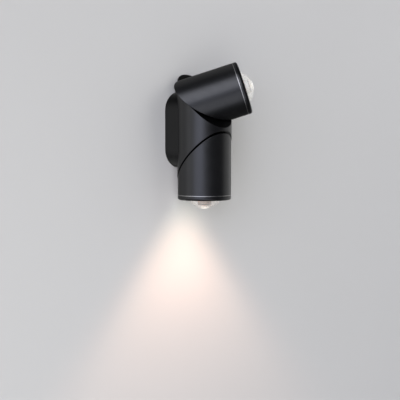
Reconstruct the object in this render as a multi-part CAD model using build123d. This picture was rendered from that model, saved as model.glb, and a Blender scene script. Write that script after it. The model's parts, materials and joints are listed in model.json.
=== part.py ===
from build123d import *
import os
from math import sqrt, sin, cos, atan2, radians, pi

# A wall light with two spotlight heads. Millimetres. +Z up, the wall is the
# plane y = 0, the room is on the -Y side. The origin is on the wall, at the
# middle of the backplate. An upright tube (the centre body) is cut at 45
# degrees at both ends, and a head with the same cut turns on each end about
# the axis square to the cut.

# ---- driving dimensions -------------------------------------------------
R_MID = 25.0          # outer radius of the centre body
R_HEAD = 24.6         # outer radius of the two heads
T_TUBE = 2.5          # tube walls
T_END = 3.0           # walls along the 45 degree cuts
AXIS_Y = -29.3        # the upright tube's axis in front of the wall
MID_Z = 0.7           # middle of the tube above the middle of the backplate
L_MID = 52.5          # between the two cut planes, along the tube's axis
GAP = 1.1             # open joint between a cut face and its head, square to the cut
L_HEAD = 38.7         # pivot point to the bezel's front, along the head's axis
H_RING = 34.1         # where the head's shell ends and the bright ring starts
T_RING = 0.6          # bright ring
UPPER_TURN = -112.4   # the upper head as seen at rest, from straight up
STOP = 170.0          # each head turns this far both ways from straight

PLATE_W, PLATE_H, PLATE_T, PLATE_R = 44.0, 70.2, 6.0, 17.4
PLATE_RIM, PLATE_FRONT = 1.75, 2.0
SIDE_T = 17.2         # how far the backplate's sides reach forward, to the tube
STRAP_W, STRAP_H, STRAP_T, STRAP_R = 36.0, 62.0, 1.5, 13.4
SLOT_Z, SLOT_R, SLOT_L = 24.0, 2.25, 8.0      # wall screw slots: centres at +-SLOT_Z
CABLE_Z, CABLE_HOLE_R, CABLE_R = -9.0, 6.0, 3.5
BODY_SCREW_Z = 18.5
OPEN_W, OPEN_H = 13.0, 24.0                   # rear wiring opening of the centre body

R_BOLT, R_BOLT_BORE = 5.0, 3.2                # hollow pivot bolt
RUN = 0.05                                    # running clearance of the pivot
R_STOP, R_PIN = 12.0, 1.0                     # stop pin circle and pin
R_LENS, H_DOME = 14.6, 8.2                    # the clear cover's dome above the bezel
T_DOME, T_NECK = 1.2, 1.3                     # thickness of its dome and neck
R_OPTIC, H_RIM = 6.2, 5.2                     # collimator: radius, and rim above the bezel
T_BEZEL, R_BEZEL_EDGE = 2.0, 2.0

S = sqrt(0.5)
os.makedirs("parts", exist_ok=True)
CUP = (0, AXIS_Y, MID_Z + L_MID / 2)          # pivot point of the upper head
CLO = (0, AXIS_Y, MID_Z - L_MID / 2)          # pivot point of the lower head
NUP = (0, -S, S)                              # upper cut's outward normal
NLO = (0, -S, -S)                             # lower cut's outward normal
nodes = {}


def cyl(r, z0, z1, at=(0, 0)):
    return Pos(at[0], at[1], (z0 + z1) / 2) * Cylinder(r, z1 - z0)


def ring(r_in, r_out, z0, z1):
    return cyl(r_out, z0, z1) - cyl(r_in, z0 - 1, z1 + 1)


def box(x0, x1, y0, y1, z0, z1):
    return Pos((x0 + x1) / 2, (y0 + y1) / 2, (z0 + z1) / 2) * Box(x1 - x0, y1 - y0, z1 - z0)


def beyond(origin, normal, off=0.0, size=200):
    # everything more than `off` past the plane, on the normal's side
    p = Plane(origin=origin, x_dir=(1, 0, 0), z_dir=normal)
    return p * (Pos(0, 0, off + size / 2) * Box(size, size, size))


def y_prism(face, y0, y1):
    # a face drawn in X (right) and Z (up), filled from y0 to y1 (y0 > y1)
    p = Plane(origin=(0, y0, 0), x_dir=(1, 0, 0), z_dir=(0, -1, 0))
    return extrude(p * face, y0 - y1)


def revolved(points):
    # profile points (radius, height), turned about Z
    face = make_face(Polyline(*[(r, 0, z) for r, z in points], close=True))
    return revolve(face, Axis.Z, 360)


def solids(shape):
    return shape.solids()


# ---- backplate, strap and fasteners on the wall --------------------------
plate_outline = RectangleRounded(PLATE_W, PLATE_H, PLATE_R)
backplate = y_prism(plate_outline, 0, -SIDE_T) - Pos(0, AXIS_Y, 0) * Cylinder(R_MID + 0.03, 200)
backplate += y_prism(plate_outline, 0, -PLATE_T)
cavity = RectangleRounded(PLATE_W - 2 * PLATE_RIM, PLATE_H - 2 * PLATE_RIM, PLATE_R - PLATE_RIM)
backplate -= y_prism(cavity, 1, -(PLATE_T - PLATE_FRONT))
# beside the tube the sides are hollow as well, behind a wall that follows the tube
backplate -= y_prism(cavity, -2, -SIDE_T) - Pos(0, AXIS_Y, 0) * Cylinder(R_MID + PLATE_FRONT, 200)
backplate -= y_prism(RectangleRounded(OPEN_W, OPEN_H, 2.0), 1, -PLATE_T - 1)
# raised pad that takes the earth screw
EARTH_X = 13.5
backplate += y_prism(Pos(EARTH_X, 0) * Circle(4.0), -2.8, -4.2)
backplate -= y_prism(Pos(EARTH_X, 0) * Circle(1.5), -2.0, -5.2)
for sz in (1, -1):
    z = sz * BODY_SCREW_Z
    hole = Plane(origin=(0, -4.0, z), x_dir=(1, 0, 0), z_dir=(0, -1, 0))
    backplate -= hole * (Pos(0, 0, 1.5) * Cylinder(1.6, 5))
    backplate -= hole * (Pos(0, 0, 0.7) * Cone(3.0, 1.6, 1.4))
    # lock screw hole in the rim
    backplate -= Pos(0, -2.75, sz * (PLATE_H / 2)) * Cylinder(1.7, 6)
nodes["backplate"] = backplate

strap = y_prism(RectangleRounded(STRAP_W, STRAP_H, STRAP_R), 0, -STRAP_T)
strap -= y_prism(Pos(0, CABLE_Z) * Circle(CABLE_HOLE_R), 1, -3)
for sz in (1, -1):
    slot = Pos(0, sz * SLOT_Z) * (Rot(0, 0, 90) * SlotOverall(SLOT_L, 2 * SLOT_R))
    strap -= y_prism(slot, 1, -3)
    z0, z1 = sorted((sz * (STRAP_H / 2 - 1.5), sz * STRAP_H / 2))
    strap += box(-4.5, 4.5, -3.9, -1.0, z0, z1)
    strap -= Pos(0, -2.75, sz * (STRAP_H / 2)) * Cylinder(1.02, 6)
# two stiffening ribs pressed out of the strap beside the cable hole
for sx in (1, -1):
    strap += y_prism(Pos(sx * 11.0, 15.0) * (Rot(0, 0, 90) * SlotOverall(14, 2.0)), -1.0, -2.2)
nodes["wall_bracket"] = strap

grommet = y_prism(Pos(0, CABLE_Z) * Circle(CABLE_HOLE_R - 0.02), -0.1, -1.6)
grommet += y_prism(Pos(0, CABLE_Z) * Circle(7.6), -1.5, -2.7)
grommet -= y_prism(Pos(0, CABLE_Z) * Circle(CABLE_R), 1, -4)
nodes["cable_grommet"] = grommet

screws = []
for sz in (1, -1):
    up = Plane(origin=(0, -2.75, sz * (PLATE_H / 2 - 0.25)), x_dir=(1, 0, 0), z_dir=(0, 0, -sz))
    s = Pos(0, 0, 0.7) * Cylinder(1.55, 1.4) + Pos(0, 0, 3.4) * Cylinder(1.0, 4.0)
    s -= extrude(RegularPolygon(0.85, 6, major_radius=True), 1.1)
    screws.append(up * s)
nodes["lock_screws"] = Compound(children=screws)

screws = []
for sz in (1, -1):
    hole = Plane(origin=(0, -4.05, sz * BODY_SCREW_Z), x_dir=(1, 0, 0), z_dir=(0, -1, 0))
    s = Pos(0, 0, 0.7) * Cone(2.9, 1.48, 1.4) + Pos(0, 0, 4.3) * Cylinder(1.48, 6.0)
    s -= Pos(0, 0, 0.4) * Box(0.6, 3.6, 0.8)
    s -= Pos(0, 0, 0.4) * Box(3.6, 0.6, 0.8)
    screws.append(hole * s)
nodes["body_screws"] = Compound(children=screws)

earth = Plane(origin=(EARTH_X, -1.75, 0), x_dir=(1, 0, 0), z_dir=(0, -1, 0))
s = Pos(0, 0, 0.5) * Cylinder(2.9, 1.0) + Pos(0, 0, 2.0) * Cylinder(1.48, 2.2)
s -= Pos(0, 0, 0.25) * Box(0.7, 6.0, 0.5)
nodes["earth_screw"] = earth * s

# ---- centre body ---------------------------------------------------------
half = L_MID / 2 + R_MID + 5
body = Pos(0, AXIS_Y, MID_Z) * Cylinder(R_MID, 2 * half)
body -= beyond(CUP, NUP)
body -= beyond(CLO, NLO)
rims = [e for e in body.edges() if e.geom_type == GeomType.ELLIPSE]
body = fillet(rims, 0.35)
hollow = Pos(0, AXIS_Y, MID_Z) * Cylinder(R_MID - T_TUBE, 2 * half)
hollow -= beyond(CUP, NUP, -T_END)
hollow -= beyond(CLO, NLO, -T_END)
# inside the tube: screw pads at the back and two ribs that hold the driver
keep = []
for sz in (1, -1):
    z0, z1 = sorted((sz * (BODY_SCREW_Z - 5), sz * (BODY_SCREW_Z + 5)))
    keep.append(box(-6, 6, AXIS_Y + 16, AXIS_Y + 26, z0, z1))
for sx in (1, -1):
    x0, x1 = sorted((sx * 17.1, sx * 24))
    keep.append(box(x0, x1, AXIS_Y - 6, AXIS_Y + 5, MID_Z - 8, MID_Z + 8))
for k in keep:
    hollow -= k
body -= hollow
# flat seat in the tube's back that the middle of the backplate's front lies in
body -= y_prism(RectangleRounded(PLATE_W + 0.3, PLATE_H + 0.3, PLATE_R + 0.15), 1, -PLATE_T)
body -= y_prism(RectangleRounded(OPEN_W, OPEN_H, 2.0), 1, AXIS_Y + 10)
for sz in (1, -1):
    hole = Plane(origin=(0, -PLATE_T, sz * BODY_SCREW_Z), x_dir=(1, 0, 0), z_dir=(0, -1, 0))
    body -= hole * (Pos(0, 0, 2.9) * Cylinder(1.5, 6.2))
for c, n in ((CUP, NUP), (CLO, NLO)):
    cut = Plane(origin=c, x_dir=(1, 0, 0), z_dir=n)
    body -= cut * Cylinder(R_BOLT + RUN, 10)
    e = 1 if n is NUP else -1
    body -= cut * (Pos(0, e * R_STOP, 0) * Cylinder(R_PIN + 0.01, 4.4))
nodes["centre_body"] = body

pins = []
for c, n, e in ((CUP, NUP, 1), (CLO, NLO, -1)):
    cut = Plane(origin=c, x_dir=(1, 0, 0), z_dir=n)
    p = cut * (Pos(0, e * R_STOP, 0) * cyl(R_PIN, -2.2, GAP + 1.0))
    pins.append(p)
nodes["stop_pins"] = Compound(children=pins)

# ---- supply inside the centre body ---------------------------------------
driver = box(-17, 17, AXIS_Y - 11, AXIS_Y + 7, MID_Z - 9, MID_Z + 9)
driver = fillet(driver.edges().filter_by(Axis.Z), 1.5)
driver = chamfer(driver.edges().filter_by_position(Axis.Z, MID_Z + 8.99, MID_Z + 9.01), 0.6)
nodes["led_driver"] = driver

TB_Y0, TB_Y1 = AXIS_Y + 12.5, AXIS_Y + 21.5
block = box(-5.5, 5.5, TB_Y0, TB_Y1, -10.5, 10.5)
screws = []
wires = []
for z in (-7.0, 0.0, 7.0):
    block -= box(-1.4, 1.4, TB_Y0 - 1, TB_Y1 + 1, z - 1.4, z + 1.4)
    block -= Pos(3.4, (TB_Y0 + TB_Y1) / 2, z) * (Rot(0, 90, 0) * Cylinder(1.4, 4.4))
    tip = Pos(3.0, (TB_Y0 + TB_Y1) / 2, z) * (Rot(0, 90, 0) * Cylinder(1.35, 3.0))
    tip -= Pos(4.4, (TB_Y0 + TB_Y1) / 2, z) * Box(0.8, 2.8, 0.5)
    screws.append(tip)
for z in (-3.5, 3.5):
    block -= box(-6, -4.6, TB_Y0 - 1, TB_Y1 + 1, z - 0.5, z + 0.5)
    block -= box(4.6, 6, TB_Y0 - 1, TB_Y1 + 1, z - 0.5, z + 0.5)
nodes["terminal_block"] = block
nodes["terminal_screws"] = Compound(children=screws)
for z in (-7.0, 7.0):
    w = Pos(0, (AXIS_Y + 7 + TB_Y0 + 3) / 2, z) * (Rot(90, 0, 0) * Cylinder(1.1, TB_Y0 + 3 - AXIS_Y - 7))
    wires.append(w)
nodes["driver_leads"] = Compound(children=wires)

# one sleeved lead from the driver's top and bottom to each hollow pivot bolt
wires = []
for e in (1, -1):
    pts = [(0, 9.92, 16.33), (0, 12.4, 13.85), (12, 12.4, 13.85), (12, 3.0, 13.85), (12, 3.0, 9.02)]
    path = FilletPolyline(*[Vector(x, AXIS_Y + w, MID_Z + e * z) for x, w, z in pts], radius=1.6)
    wires.append(sweep(Plane(origin=path @ 0, z_dir=path % 0) * Circle(1.1), path=path))
nodes["output_leads"] = Compound(children=wires)


# ---- one head, drawn pointing straight up with its pivot point at 0,0,0 ----
def head():
    out = {}
    cut = Plane(origin=(0, 0, 0), x_dir=(1, 0, 0), z_dir=(0, -S, S))
    shell = cyl(R_HEAD, -40, H_RING)
    shell -= beyond((0, 0, 0), (0, S, -S), -GAP)
    rims = [e for e in shell.edges() if e.geom_type == GeomType.ELLIPSE]
    shell = fillet(rims, 0.35)
    inside = cyl(R_HEAD - T_TUBE, -40, H_RING + 1)
    inside -= beyond((0, 0, 0), (0, S, -S), -(GAP + T_END))
    shell -= inside
    shell -= cut * cyl(R_BOLT + 0.01, -5, 15)
    groove = ring(R_STOP - 1.2, R_STOP + 1.2, GAP - 1, GAP + 1.2) - Pos(0, -R_STOP, 0) * Box(2.0, 4, 10)
    shell -= cut * groove
    out["head_shell"] = shell

    bolt = revolved([
        (R_BOLT_BORE, -12.5), (R_BOLT - 0.4, -12.5), (R_BOLT, -12.1), (R_BOLT, GAP + T_END),
        (9.0, GAP + T_END), (9.0, GAP + T_END + 2.0), (8.5, GAP + T_END + 2.5), (R_BOLT_BORE, GAP + T_END + 2.5),
    ])
    bolt -= Pos(0, 0, GAP + T_END + 2.5) * Box(2.0, 30, 1.6)
    out["pivot_bolt"] = cut * bolt

    nut = extrude(RegularPolygon(8.0, 6, major_radius=True), 4.5)
    nut = Pos(0, 0, -11.2) * nut - cyl(R_BOLT + 0.01, -20, 0)
    nut = nut & revolved([(0, -11.2), (7.3, -11.2), (8.1, -10.5), (8.1, -7.3), (7.3, -6.7), (0, -6.7)])
    out["pivot_nut"] = cut * nut

    out["thrust_washer"] = cut * ring(R_BOLT + 0.1, 9.0, -T_END - 1.02, -T_END - 0.02)
    # a crest-to-crest wave washer, drawn as a ring with three shallow waves each side
    spring = ring(R_BOLT + 0.3, 8.4, -6.7, -T_END - 1.02)
    for i in range(3):
        a = 120 * i
        spring -= Rot(0, 0, a) * (Pos(0, 7, -4.02) * (Rot(90, 0, 0) * Cylinder(1.0, 8)))
        spring -= Rot(0, 0, a + 60) * (Pos(0, 7, -6.7) * (Rot(90, 0, 0) * Cylinder(1.0, 8)))
    out["wave_spring"] = cut * spring
    out["friction_washer"] = cut * ring(R_STOP + 1.8, 17.0, 0.02, GAP)

    sink = cyl(R_HEAD - T_TUBE - 0.05, 22.5, 27.0)
    for x in (-13.0, -6.5, 6.5, 13.0):
        sink += box(x - 0.8, x + 0.8, -20, 20, 12.5, 23.0) & cyl(20.5, 10, 24)
    sink -= beyond((0, 0, 0), (0, S, -S), -(GAP + T_END + 1.5))
    sink -= cyl(2.4, 10, 30, at=(0, -8.5))
    for x in (-10.8, 10.8):
        sink -= cyl(1.25, 23.5, 28, at=(x, 0))
    out["heat_sink"] = sink

    board = cyl(13.2, 27.0, 28.6)
    for x in (-10.8, 10.8):
        board -= cyl(1.4, 26, 30, at=(x, 0))
    board -= box(-1.6, 1.6, -14, -9.4, 26, 30)
    out["led_board"] = board

    screws = []
    for x in (-10.8, 10.8):
        s = cyl(2.1, 28.6, 29.9, at=(x, 0)) + cyl(1.24, 24.0, 28.7, at=(x, 0))
        s -= Pos(x, 0, 29.9) * Box(0.6, 3.0, 1.2)
        s -= Pos(x, 0, 29.9) * Box(3.0, 0.6, 1.2)
        screws.append(s)
    out["board_screws"] = Compound(children=screws)

    led = box(-3.5, 3.5, -3.5, 3.5, 28.6, 29.3)
    led += (Pos(0, 0, 29.2) * Sphere(2.6)) & cyl(3, 29.0, 35)
    out["led_emitter"] = led

    # clear domed cover: flange, short neck and a dome of even thickness
    face_z = L_HEAD
    r_sphere = (R_LENS ** 2 + H_DOME ** 2) / (2 * H_DOME)
    zc = face_z + H_DOME - r_sphere
    r_neck = R_LENS - T_NECK
    r_in = r_sphere - T_DOME

    def dome_arc(r, rim):
        # from the rim's radius up to the middle, on a sphere about the dome's centre
        lift = sqrt(r * r - rim * rim)
        a = (pi / 2 + atan2(lift, rim)) / 2
        return ThreePointArc((rim, 0, zc + lift), (r * cos(a), 0, zc + r * sin(a)), (0, 0, zc + r))

    neck = Polyline((r_neck, 0, zc + sqrt(r_in ** 2 - r_neck ** 2)), (r_neck, 0, 34.6), (16.9, 0, 34.6),
                    (16.9, 0, 36.2), (R_LENS, 0, 36.2), (R_LENS, 0, face_z))
    tip = Line((0, 0, zc + r_sphere), (0, 0, zc + r_in))
    profile = make_face([*neck.edges(), dome_arc(r_sphere, R_LENS), tip, dome_arc(r_in, r_neck)])
    out["lens"] = revolve(profile, Axis.Z, 360)

    # collimator under the cover: a clear column over the light source with a
    # grooved front rim, on a disc with four legs that stand on the board
    top = face_z + H_RIM
    optic = revolved([
        (0, 29.4), (4.4, 29.4), (R_OPTIC, 32.4), (18.2, 32.4), (18.2, 33.58), (R_OPTIC, 33.58),
        (R_OPTIC, top - 1.1), (R_OPTIC - 0.35, top - 1.0), (R_OPTIC - 0.35, top - 0.6), (R_OPTIC, top - 0.5),
        (R_OPTIC, top - 0.15), (R_OPTIC - 0.15, top), (R_OPTIC - 0.8, top), (R_OPTIC - 1.2, top - 0.4), (0, top - 0.4),
    ])
    r_cap = ((R_OPTIC - 1.2) ** 2 + 1.0) / 2
    optic += (Pos(0, 0, top + 0.6 - r_cap) * Sphere(r_cap)) & cyl(R_OPTIC - 1.2, top - 1.0, top + 2)
    optic -= cyl(3.4, 28, 32.6)
    for a in (55, 125, 235, 305):
        optic += cyl(1.0, 28.6, 32.6, at=(11.6 * cos(radians(a)), 11.6 * sin(radians(a))))
    out["collimator"] = optic

    out["lens_holder"] = revolved([
        (18.4, 27.0), (20.2, 27.0), (20.2, 34.6), (14.6, 34.6), (14.6, 33.6), (18.4, 33.6),
    ])
    out["lens_gasket"] = ring(R_LENS + 0.4, 17.2, 36.2, face_z - T_BEZEL)

    z0 = H_RING + T_RING
    bezel = revolved([
        (20.4, 30.0), (R_HEAD - T_TUBE - 0.1, 30.0), (R_HEAD - T_TUBE - 0.1, z0), (R_HEAD, z0), (R_HEAD, face_z),
        (R_LENS + 0.15, face_z), (R_LENS + 0.15, face_z - T_BEZEL), (20.4, face_z - T_BEZEL),
    ])
    outer = [e for e in bezel.edges() if e.geom_type == GeomType.CIRCLE
             and abs(e.radius - R_HEAD) < 0.01 and abs(e.center().Z - face_z) < 0.01]
    bezel = fillet(outer, R_BEZEL_EDGE)
    inner = [e for e in bezel.edges() if e.geom_type == GeomType.CIRCLE
             and abs(e.radius - R_LENS - 0.15) < 0.01 and abs(e.center().Z - face_z) < 0.01]
    bezel = chamfer(inner, 0.5)
    out["bezel"] = bezel
    out["trim_ring"] = ring(R_HEAD - T_TUBE + 0.02, R_HEAD - 0.1, H_RING, z0)

    # sleeved wires: along the pivot axis through the hollow bolt, then up to the board
    p0, p1 = Vector(0, S * 14.0, -S * 14.0), Vector(0, -8.5, 8.5)
    path = FilletPolyline(p0, p1, Vector(0, -8.5, 27.0), radius=9.0)
    lead = sweep(Plane(origin=path @ 0, z_dir=path % 0) * Circle(1.5), path=path)
    out["lead"] = lead
    return out


one = head()
turn = Axis((0, 0, 0), (0, -1, 1))
for name, shape in one.items():
    up = shape.rotate(turn, UPPER_TURN).moved(Location(CUP))
    lo = shape.rotate(Axis.Y, 180).moved(Location(CLO))
    nodes["upper_" + name] = up
    nodes["lower_" + name] = lo

for name, shape in nodes.items():
    got = shape.solids()
    flat = Compound(children=list(got)) if len(got) > 1 else got[0]
    flat.label = name
    export_step(flat, f"parts/{name}.step")
print(len(nodes), "nodes")
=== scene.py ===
import bpy
import json
import math
from mathutils import Vector, Matrix

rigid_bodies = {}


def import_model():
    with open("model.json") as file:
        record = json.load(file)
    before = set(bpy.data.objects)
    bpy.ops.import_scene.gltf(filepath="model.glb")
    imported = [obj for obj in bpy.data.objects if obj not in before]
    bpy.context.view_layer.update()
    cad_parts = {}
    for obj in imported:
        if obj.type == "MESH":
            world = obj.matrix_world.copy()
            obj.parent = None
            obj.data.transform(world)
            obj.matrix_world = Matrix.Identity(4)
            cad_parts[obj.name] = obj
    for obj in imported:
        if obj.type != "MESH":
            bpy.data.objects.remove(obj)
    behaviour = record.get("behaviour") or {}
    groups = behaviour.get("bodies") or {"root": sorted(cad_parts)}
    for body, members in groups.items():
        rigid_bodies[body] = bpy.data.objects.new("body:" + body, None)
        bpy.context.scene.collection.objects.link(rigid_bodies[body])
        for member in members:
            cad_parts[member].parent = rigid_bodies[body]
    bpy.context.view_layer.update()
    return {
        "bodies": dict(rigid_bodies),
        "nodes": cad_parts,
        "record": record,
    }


# A twin spotlight wall light. Metres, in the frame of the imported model:
# the wall is y = 0, the room is on -Y, +Z is up.

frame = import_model()
scene = bpy.context.scene

MM = 0.001
AXIS_Y = -29.3 * MM
MID_Z = 0.7 * MM
CUP = Vector((0, AXIS_Y, MID_Z + 26.25 * MM))
CLO = Vector((0, AXIS_Y, MID_Z - 26.25 * MM))
S = math.sqrt(0.5)

# ------------------------------------------------------------- camera
AZ = math.radians(45.446)
F_PX = 1084.56
DIST = 1.0
fwd = Vector((math.sin(AZ), math.cos(AZ), 0))
right = Vector((math.cos(AZ), -math.sin(AZ), 0))
cam_data = bpy.data.cameras.new("camera")
cam_data.sensor_width = 36.0
cam_data.lens = F_PX / 400.0 * 36.0
cam_data.clip_start, cam_data.clip_end = 0.01, 50
cam = bpy.data.objects.new("camera", cam_data)
scene.collection.objects.link(cam)
lat = 4.43 / F_PX * DIST
cam.location = Vector((0, AXIS_Y, MID_Z)) - fwd * DIST - right * lat + Vector((0, 0, -0.795 * MM))
pitch = math.atan(70.0 / F_PX)
look = fwd * math.cos(pitch) - Vector((0, 0, 1)) * math.sin(pitch)
cam.rotation_mode = "QUATERNION"
cam.rotation_quaternion = look.to_track_quat("-Z", "Y")
scene.camera = cam


# ---------------------------------------------------------- materials
def new_mat(name):
    m = bpy.data.materials.new(name)
    m.use_nodes = True
    nt = m.node_tree
    nt.nodes.clear()
    out = nt.nodes.new("ShaderNodeOutputMaterial")
    p = nt.nodes.new("ShaderNodeBsdfPrincipled")
    nt.links.new(p.outputs[0], out.inputs[0])
    return m, nt, p


def node(nt, kind, **inputs):
    n = nt.nodes.new(kind)
    for k, v in inputs.items():
        if k in n.inputs:
            n.inputs[k].default_value = v
        else:
            setattr(n, k, v)
    return n


def coords(nt, scale=(1, 1, 1), rotation=(0, 0, 0)):
    tc = nt.nodes.new("ShaderNodeTexCoord")
    mp = nt.nodes.new("ShaderNodeMapping")
    mp.inputs["Scale"].default_value = scale
    mp.inputs["Rotation"].default_value = rotation
    nt.links.new(tc.outputs["Object"], mp.inputs["Vector"])
    return mp.outputs["Vector"]


def noise(nt, vec, scale, detail=3.0, rough=0.5):
    n = nt.nodes.new("ShaderNodeTexNoise")
    n.inputs["Scale"].default_value = scale
    n.inputs["Detail"].default_value = detail
    n.inputs["Roughness"].default_value = rough
    nt.links.new(vec, n.inputs["Vector"])
    return n.outputs["Fac"]


def ramp(nt, fac, stops):
    r = nt.nodes.new("ShaderNodeValToRGB")
    e = r.color_ramp.elements
    while len(e) > 1:
        e.remove(e[-1])
    e[0].position, e[0].color = stops[0][0], (*stops[0][1], 1)
    for pos, col in stops[1:]:
        x = e.new(pos)
        x.color = (*col, 1)
    nt.links.new(fac, r.inputs["Fac"])
    return r.outputs["Color"]


def remap(nt, fac, lo, hi, a=0.0, b=1.0):
    r = nt.nodes.new("ShaderNodeMapRange")
    r.inputs["From Min"].default_value = a
    r.inputs["From Max"].default_value = b
    r.inputs["To Min"].default_value = lo
    r.inputs["To Max"].default_value = hi
    nt.links.new(fac, r.inputs["Value"])
    return r.outputs["Result"]


def bump(nt, p, height, distance, strength=1.0, normal=None):
    b = nt.nodes.new("ShaderNodeBump")
    b.inputs["Distance"].default_value = distance
    b.inputs["Strength"].default_value = strength
    nt.links.new(height, b.inputs["Height"])
    if normal is not None:
        nt.links.new(normal, b.inputs["Normal"])
    if p is not None:
        nt.links.new(b.outputs[0], p.inputs["Normal"])
    return b.outputs[0]


def black_coat(name, base=(0.0051, 0.0052, 0.0058), rough=0.32, grain=0.00002, gloss=0.5, shaded_cut_normals=(), lip=None):
    # satin black coat on aluminium: fine powder texture, slightly uneven gloss; it can also carry painted
    # shade on joint faces and on a bezel lip
    m, nt, p = new_mat(name)
    v = coords(nt)
    n = noise(nt, v, 60, 4)
    lo = tuple(c * 0.85 for c in base)
    hi = tuple(c * 1.15 for c in base)
    colour = ramp(nt, n, [(0.3, lo), (0.7, hi)])
    dull = remap(nt, noise(nt, v, 220, 3), rough - 0.03, rough + 0.03, 0.3, 0.7)
    if shaded_cut_normals:
        # painted shade: the cut faces inside the joints, known by their normals, are painted near black,
        # standing in for the shade the heads cast into the joints
        tc = nt.nodes.new("ShaderNodeTexCoord")
        mask = None
        for normal in shaded_cut_normals:
            dot = node(nt, "ShaderNodeVectorMath", operation="DOT_PRODUCT")
            dot.inputs[1].default_value = normal
            nt.links.new(tc.outputs["Normal"], dot.inputs[0])
            on = soft_step(nt, dot.outputs["Value"], 0.975, 0.99)
            mask = on if mask is None else maths(nt, "MAXIMUM", mask, on)
        mx = node(nt, "ShaderNodeMix", data_type="RGBA")
        nt.links.new(mask, mx.inputs[0])
        nt.links.new(colour, mx.inputs[6])
        mx.inputs[7].default_value = (0.0006, 0.0006, 0.0006, 1)
        colour = mx.outputs[2]
    nt.links.new(colour, p.inputs["Base Color"])
    nt.links.new(dull, p.inputs["Roughness"])
    g = noise(nt, v, 3200, 2)
    bump(nt, p, g, grain)
    p.inputs["Specular IOR Level"].default_value = gloss
    if lip:
        # painted shade: the bezel's rounded front lip gets a lower specular level than its side, darkening the
        # reflection there
        h, r = along(nt, *lip)
        nt.links.new(soft_step(nt, h, 35.8, 36.7, gloss, 0.10), p.inputs["Specular IOR Level"])
    return m


def metal(name, base, rough, stretch=(1, 1, 1), scale=900, spread=0.08, grain=0.00001):
    m, nt, p = new_mat(name)
    v = coords(nt, scale=stretch)
    n = noise(nt, v, scale, 3)
    lo = tuple(c * (1 - spread) for c in base)
    hi = tuple(min(1, c * (1 + spread)) for c in base)
    nt.links.new(ramp(nt, n, [(0.3, lo), (0.7, hi)]), p.inputs["Base Color"])
    nt.links.new(remap(nt, n, rough - 0.05, rough + 0.06, 0.3, 0.7), p.inputs["Roughness"])
    bump(nt, p, n, grain)
    p.inputs["Metallic"].default_value = 1.0
    return m


def plastic(name, base, rough=0.5, scale=1500, grain=0.00001, spread=0.06, subsurface=0.0):
    m, nt, p = new_mat(name)
    v = coords(nt)
    n = noise(nt, v, scale, 3)
    big = noise(nt, v, 90, 3)
    lo = tuple(c * (1 - spread) for c in base)
    hi = tuple(min(1, c * (1 + spread)) for c in base)
    nt.links.new(ramp(nt, big, [(0.3, lo), (0.7, hi)]), p.inputs["Base Color"])
    nt.links.new(remap(nt, n, rough - 0.05, rough + 0.05, 0.3, 0.7), p.inputs["Roughness"])
    bump(nt, p, n, grain)
    p.inputs["Subsurface Weight"].default_value = subsurface
    return m


def along(nt, origin, axis):
    # height along a head's axis and distance from it, both in millimetres
    tc = nt.nodes.new("ShaderNodeTexCoord")
    sub = node(nt, "ShaderNodeVectorMath", operation="SUBTRACT")
    sub.inputs[1].default_value = origin
    nt.links.new(tc.outputs["Object"], sub.inputs[0])
    dot = node(nt, "ShaderNodeVectorMath", operation="DOT_PRODUCT")
    dot.inputs[1].default_value = tuple(c * 1000 for c in axis)
    nt.links.new(sub.outputs["Vector"], dot.inputs[0])
    cross = node(nt, "ShaderNodeVectorMath", operation="CROSS_PRODUCT")
    cross.inputs[1].default_value = tuple(c * 1000 for c in axis)
    nt.links.new(sub.outputs["Vector"], cross.inputs[0])
    ln = node(nt, "ShaderNodeVectorMath", operation="LENGTH")
    nt.links.new(cross.outputs["Vector"], ln.inputs[0])
    return dot.outputs["Value"], ln.outputs["Value"]


def soft_step(nt, value, a, b, lo=0.0, hi=1.0):
    r = node(nt, "ShaderNodeMapRange", interpolation_type="SMOOTHSTEP")
    r.inputs["From Min"].default_value = a
    r.inputs["From Max"].default_value = b
    r.inputs["To Min"].default_value = lo
    r.inputs["To Max"].default_value = hi
    nt.links.new(value, r.inputs["Value"])
    return r.outputs["Result"]


def maths(nt, op, a, b):
    n = node(nt, "ShaderNodeMath", operation=op)
    for i, x in enumerate((a, b)):
        if isinstance(x, (int, float)):
            n.inputs[i].default_value = x
        else:
            nt.links.new(x, n.inputs[i])
    return n.outputs[0]


def clear_cover(name, origin, axis, tint, milk, even_glow, tip, spread, low=45.3, high=46.2):
    # clear moulded dome, a little milky, denser at its edge and at the tip; it glows evenly and more brightly
    # at the tip where the collimator's light leaves it, and on the unlit upper head this glow is painted light
    m, nt, p = new_mat(name)
    v = coords(nt)
    nt.links.new(ramp(nt, noise(nt, v, 160, 3), [(0.3, tuple(c * 0.96 for c in tint)), (0.7, tint)]), p.inputs["Base Color"])
    nt.links.new(remap(nt, noise(nt, v, 500, 2), 0.07, 0.12, 0.3, 0.7), p.inputs["Roughness"])
    h, r = along(nt, origin, axis)
    spot = maths(nt, "MULTIPLY", soft_step(nt, r, spread + 2.2, spread), soft_step(nt, h, low, high))
    lw = nt.nodes.new("ShaderNodeLayerWeight")
    lw.inputs["Blend"].default_value = 0.35
    rim = soft_step(nt, lw.outputs["Facing"], 0.25, 1.0, milk, milk + 0.30)
    nt.links.new(maths(nt, "MAXIMUM", rim, maths(nt, "MULTIPLY", spot, 0.75)), p.inputs["Alpha"])
    p.inputs["Emission Color"].default_value = (*tint, 1)
    nt.links.new(maths(nt, "ADD", maths(nt, "MULTIPLY", spot, tip), even_glow), p.inputs["Emission Strength"])
    p.inputs["IOR"].default_value = 1.49
    return m


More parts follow.
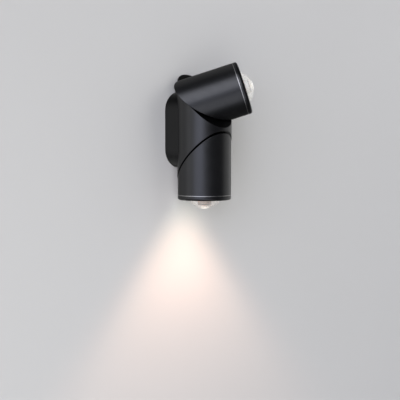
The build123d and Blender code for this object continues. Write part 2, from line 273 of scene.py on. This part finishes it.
def acrylic(name, origin, axis, side, groove_shade_colour, heart, lit, start=43.2):
    # clear acrylic collimator: a band of painted shade darkens its grooved rim, and its front glows with the
    # light source behind it, which on the unlit upper head is painted light
    m, nt, p = new_mat(name)
    v = coords(nt)
    h, r = along(nt, origin, axis)
    # painted shade: darker band across the groove
    groove_shade_mask = maths(nt, "MULTIPLY", soft_step(nt, h, 42.3, 42.8), soft_step(nt, h, 43.7, 43.3))
    front = maths(nt, "MULTIPLY", soft_step(nt, r, 5.0, 4.2), soft_step(nt, h, start, start + 0.3))
    base = ramp(nt, noise(nt, v, 260, 3), [(0.3, tuple(c * 0.88 for c in side)), (0.7, side)])
    for fac, col in ((groove_shade_mask, groove_shade_colour), (front, heart)):
        mx = node(nt, "ShaderNodeMix", data_type="RGBA")
        nt.links.new(fac, mx.inputs[0])
        nt.links.new(base, mx.inputs[6])
        mx.inputs[7].default_value = (*col, 1)
        base = mx.outputs[2]
    nt.links.new(base, p.inputs["Base Color"])
    nt.links.new(remap(nt, noise(nt, v, 700, 2), 0.12, 0.2, 0.3, 0.7), p.inputs["Roughness"])
    p.inputs["Emission Color"].default_value = (*heart, 1)
    nt.links.new(maths(nt, "MULTIPLY", front, lit), p.inputs["Emission Strength"])
    p.inputs["Subsurface Weight"].default_value = 0.25
    p.inputs["Subsurface Scale"].default_value = 0.002
    p.inputs["IOR"].default_value = 1.49
    return m


def glow(name, colour, strength):
    m, nt, p = new_mat(name)
    v = coords(nt)
    n = noise(nt, v, 1800, 2)
    nt.links.new(ramp(nt, n, [(0.3, tuple(c * 0.9 for c in colour)), (0.7, colour)]), p.inputs["Base Color"])
    p.inputs["Emission Color"].default_value = (*colour, 1)
    p.inputs["Emission Strength"].default_value = strength
    p.inputs["Roughness"].default_value = 0.35
    return m


M = {
    "black_paint": black_coat("black_coat"),
    "satin_ring": metal("turned_aluminium", (0.41, 0.405, 0.395), 0.46, scale=1200),
    "steel": metal("plated_steel", (0.56, 0.57, 0.58), 0.30),
    "zinc_steel": metal("zinc_sheet", (0.60, 0.61, 0.62), 0.38, scale=140, spread=0.16),
    "brass": metal("brass", (0.78, 0.58, 0.26), 0.28),
    "raw_aluminium": metal("aluminium", (0.74, 0.75, 0.76), 0.32),
    "nylon": plastic("nylon_black", (0.012, 0.012, 0.013), 0.55),
    "board_white": plastic("board_white", (0.80, 0.80, 0.78), 0.30),
    "phosphor": glow("phosphor", (1.0, 0.86, 0.66), 3.0),
    "holder_plastic": plastic("holder_white", (0.72, 0.71, 0.69), 0.45),
    "clear_silicone": plastic("silicone_milky", (0.74, 0.74, 0.72), 0.5),
    "silicone": plastic("rubber_black", (0.02, 0.02, 0.02), 0.7, spread=0.15),
    "lead_sleeve": plastic("sleeve_white", (0.78, 0.77, 0.74), 0.5),
    "driver_case": plastic("driver_white", (0.76, 0.76, 0.74), 0.45),
    "terminal_plastic": plastic("terminal_grey", (0.62, 0.62, 0.60), 0.4),
}
V_UP = Vector((0.6538, -0.6903, 0.3095))        # the heads' directions at rest
V_LO = Vector((0, 0, -1))
OWN = {
    "centre_body": black_coat("black_coat_body", shaded_cut_normals=((0, -S, S), (0, -S, -S))),
    "upper_head_shell": black_coat("black_coat_upper", shaded_cut_normals=((0, S, -S),)),
    "lower_head_shell": black_coat("black_coat_lower", shaded_cut_normals=((0, S, S),)),
    # painted shade: only the upper bezel gets the duller lip; the lower bezel keeps the plain coat
    "upper_bezel": black_coat("black_coat_lip_painted_shade", lip=(CUP, V_UP)),
    # painted shade: the backplate gets a darker, less glossy copy of the coat, standing in for the wall's
    # shade around it
    "backplate": black_coat("black_coat_plate_painted_shade", base=(0.0044, 0.0044, 0.0044), gloss=0.24),
    # painted light: the upper lamp casts no beam, yet its cover glows all over and brightly at the tip,
    # standing in for room light in the dome and a highlight
    "upper_lens": clear_cover("cover_clear_upper_painted_glow", CUP, V_UP, (0.88, 0.87, 0.85), 0.20, 0.26, 0.50, 3.8),
    "lower_lens": clear_cover("cover_clear_lower", CLO, V_LO, (0.90, 0.86, 0.82), 0.14, 0.24, 0.75, 3.4, low=45.9, high=46.4),
    # painted light: the upper collimator glows faintly though its lamp casts no light
    "upper_collimator": acrylic("acrylic_upper", CUP, V_UP, (0.84, 0.82, 0.79), (0.36, 0.34, 0.32), (0.88, 0.82, 0.68), 0.12),
    # painted shade: the lower collimator's side is painted brown, standing in for the dark inside of the head
    # seen through the clear acrylic
    "lower_collimator": acrylic("acrylic_lower", CLO, V_LO, (0.30, 0.235, 0.195), (0.14, 0.12, 0.105), (1.0, 0.86, 0.66), 0.45, start=43.75),
}
slots = {s["node"]: s["material_slot"] for s in frame["record"]["subparts"]}
for name, o in frame["nodes"].items():
    m = OWN[name] if name in OWN else M[slots[name]]
    if not o.material_slots:
        o.data.materials.append(m)
    for s in o.material_slots:
        s.material = m

# --------------------------------------------------------------- wall
def plane(name, corners, mat):
    me = bpy.data.meshes.new(name)
    me.from_pydata(corners, [], [tuple(range(len(corners)))])
    o = bpy.data.objects.new(name, me)
    scene.collection.objects.link(o)
    me.materials.append(mat)
    o.visible_glossy = False
    return o


wall_mat, nt, p = new_mat("wall_paint")
v = coords(nt)
nt.links.new(ramp(nt, noise(nt, v, 1.5, 2), [(0.3, (0.56, 0.56, 0.56)), (0.7, (0.60, 0.60, 0.60))]), p.inputs["Base Color"])
p.inputs["Roughness"].default_value = 0.85
bump(nt, p, noise(nt, v, 500, 3), 0.0001, 0.3)
# seen from behind the wall lets the back of the lamp be looked at
geo = nt.nodes.new("ShaderNodeNewGeometry")
tr = nt.nodes.new("ShaderNodeBsdfTransparent")
mix = nt.nodes.new("ShaderNodeMixShader")
out = [n for n in nt.nodes if n.type == "OUTPUT_MATERIAL"][0]
nt.links.new(geo.outputs["Backfacing"], mix.inputs[0])
nt.links.new(p.outputs[0], mix.inputs[1])
nt.links.new(tr.outputs[0], mix.inputs[2])
nt.links.new(mix.outputs[0], out.inputs[0])
W = 3.0
plane("wall", [(-W, 0.0003, -1.2), (W, 0.0003, -1.2), (W, 0.0003, W), (-W, 0.0003, W)], wall_mat)

floor_mat, nt, p = new_mat("floor_pale")
v = coords(nt)
nt.links.new(ramp(nt, noise(nt, v, 2.0, 3), [(0.3, (0.60, 0.60, 0.60)), (0.7, (0.64, 0.64, 0.63))]), p.inputs["Base Color"])
p.inputs["Roughness"].default_value = 0.7
plane("floor", [(-6, -6, -1.2), (6, -6, -1.2), (6, 6, -1.2), (-6, 6, -1.2)], floor_mat)

# ------------------------------------------------------------- lights
# The room is a dark studio with soft pale panels: each row is a panel's
# azimuth, elevation, half width, soft edge (degrees), brightness and colour.
SKY, DAY, PALE = (0.89, 0.96, 1.27), (0.955, 0.98, 1.10), (1.0, 1.0, 1.0)
PANELS = [
    (-60, 28, 6, 27, 3.35, DAY),
    (-40, -32, 6, 26, 1.45, DAY),
    (-71, -2, 4, 24, 1.15, SKY),
    (-54, 0, 2, 16, 0.25, SKY),
    (-100, -4, 6, 32, 0.85, (0.98, 0.99, 1.03)),
    (-140, 0, 8, 34, 0.45, PALE),
    (78, -10, 14, 32, 0.62, PALE),
    (120, 0, 6, 30, 0.05, PALE),
    (160, 8, 6, 30, 0.21, PALE),
    (180, -40, 6, 24, 0.45, PALE),
    (140, 62, 8, 27, 0.23, PALE),
]
ROOM = 0.035
world = bpy.data.worlds.new("studio")
scene.world = world
world.use_nodes = True
nt = world.node_tree
bg = nt.nodes["Background"]
tc = nt.nodes.new("ShaderNodeTexCoord")
total = None
for az, el, inner, edge, level, colour in PANELS:
    a, e = math.radians(az), math.radians(el)
    dot = node(nt, "ShaderNodeVectorMath", operation="DOT_PRODUCT")
    dot.inputs[1].default_value = (math.sin(a) * math.cos(e), -math.cos(a) * math.cos(e), math.sin(e))
    nt.links.new(tc.outputs["Generated"], dot.inputs[0])
    r = node(nt, "ShaderNodeMapRange", interpolation_type="SMOOTHERSTEP")
    r.inputs["From Min"].default_value = math.cos(math.radians(inner + edge))
    r.inputs["From Max"].default_value = math.cos(math.radians(inner))
    r.inputs["To Min"].default_value = 0.0
    r.inputs["To Max"].default_value = level
    nt.links.new(dot.outputs["Value"], r.inputs["Value"])
    tint = node(nt, "ShaderNodeVectorMath", operation="SCALE")
    tint.inputs[0].default_value = colour
    nt.links.new(r.outputs["Result"], tint.inputs["Scale"])
    add = node(nt, "ShaderNodeVectorMath", operation="ADD")
    nt.links.new(tint.outputs["Vector"], add.inputs[0])
    if total is None:
        add.inputs[1].default_value = (ROOM, ROOM, ROOM)
    else:
        nt.links.new(total, add.inputs[1])
    total = add.outputs["Vector"]
# past the wall and floor there is a plain pale backdrop; the panels only light
path = nt.nodes.new("ShaderNodeLightPath")
mx = node(nt, "ShaderNodeMix", data_type="RGBA")
nt.links.new(path.outputs["Is Camera Ray"], mx.inputs[0])
nt.links.new(total, mx.inputs[6])
mx.inputs[7].default_value = (0.52, 0.52, 0.52, 1)
nt.links.new(mx.outputs[2], bg.inputs[0])
bg.inputs[1].default_value = 1.0


def link_light(name, d, loc, target):
    o = bpy.data.objects.new(name, d)
    scene.collection.objects.link(o)
    o.location = loc
    o.rotation_mode = "QUATERNION"
    o.rotation_quaternion = (Vector(target) - Vector(loc)).to_track_quat("-Z", "Y")
    return o


def around(azimuth, elevation, distance):
    a, e = math.radians(azimuth), math.radians(elevation)
    return Vector((math.sin(a) * math.cos(e), -math.cos(a) * math.cos(e), math.sin(e))) * distance


def softbox(name, azimuth, elevation, distance, size, radiance, colour=(1, 1, 1), seen=True):
    # size as seen from the lamp, in degrees; radiance of its face
    w, h = (2 * distance * math.tan(math.radians(s) / 2) for s in size)
    d = bpy.data.lights.new(name, "AREA")
    d.shape = "RECTANGLE"
    d.size, d.size_y = w, h
    d.energy = radiance * math.pi * w * h
    d.color = colour
    o = link_light(name, d, around(azimuth, elevation, distance) + Vector((0, AXIS_Y, 0)), (0, AXIS_Y, 0))
    o.visible_glossy = seen
    return o


WARM = (1.0, 0.984, 0.935)
softbox("room_left", -54, -15, 1.15, (60, 60), 1.68, WARM, seen=False)
softbox("room_right", 42, 34, 1.5, (60, 60), 1.47, WARM, seen=False)

# the lamp's own light on the wall: the lens makes it come from a point
# behind itself, so this lamp isn't shaded by the head it sits in
lit = bpy.data.collections.new("lit_by_lamp")
for o in list(scene.objects):
    if o.name in ("wall", "floor"):
        lit.objects.link(o)


def beam(name, body, half, blend, tilt, watts, colour):
    d = bpy.data.lights.new(name, "SPOT")
    d.spot_size = math.radians(2 * half)
    d.spot_blend = blend
    d.energy = watts
    d.color = colour
    d.shadow_soft_size = 0.008
    d.use_shadow = False
    a = math.radians(tilt)
    loc = Vector((0, AXIS_Y, 0))
    o = link_light(name, d, loc, loc + Vector((0, math.sin(a), -math.cos(a))))
    o.light_linking.receiver_collection = lit
    # the cover lets light out only within about 55 degrees of the head's axis
    d.use_nodes = True
    lnt = d.node_tree
    em = [n for n in lnt.nodes if n.type == "EMISSION"][0]
    ltc = lnt.nodes.new("ShaderNodeTexCoord")
    dot = node(lnt, "ShaderNodeVectorMath", operation="DOT_PRODUCT")
    dot.inputs[1].default_value = tuple(o.rotation_quaternion.inverted() @ V_LO)
    lnt.links.new(ltc.outputs["Normal"], dot.inputs[0])
    lnt.links.new(soft_step(lnt, dot.outputs["Value"], math.cos(math.radians(60)), math.cos(math.radians(50))),
                  em.inputs["Strength"])
    o.parent = frame["bodies"][body]
    o.matrix_parent_inverse = frame["bodies"][body].matrix_world.inverted()
    o.visible_glossy = False
    return o


beam("beam_wide", "lower_head", 58.5, 0.225, -40, 3.96, (1.0, 0.581, 0.416))
beam("beam_core", "lower_head", 35.6, 0.042, -15, 0.349, (0.83, 1.0, 0.754))

# faint spill from the lit cover, all round it
d = bpy.data.lights.new("cover_spill", "POINT")
d.energy = 0.014
d.color = (1.0, 0.86, 0.74)
d.shadow_soft_size = 0.006
d.use_shadow = False
spill = link_light("cover_spill", d, CLO + V_LO * 0.049 + Vector((-0.012, -0.016, 0)), CLO + V_LO)
spill.light_linking.receiver_collection = lit
spill.parent = frame["bodies"]["lower_head"]
spill.matrix_parent_inverse = frame["bodies"]["lower_head"].matrix_world.inverted()
spill.visible_glossy = False

scene.view_settings.view_transform = "Standard"
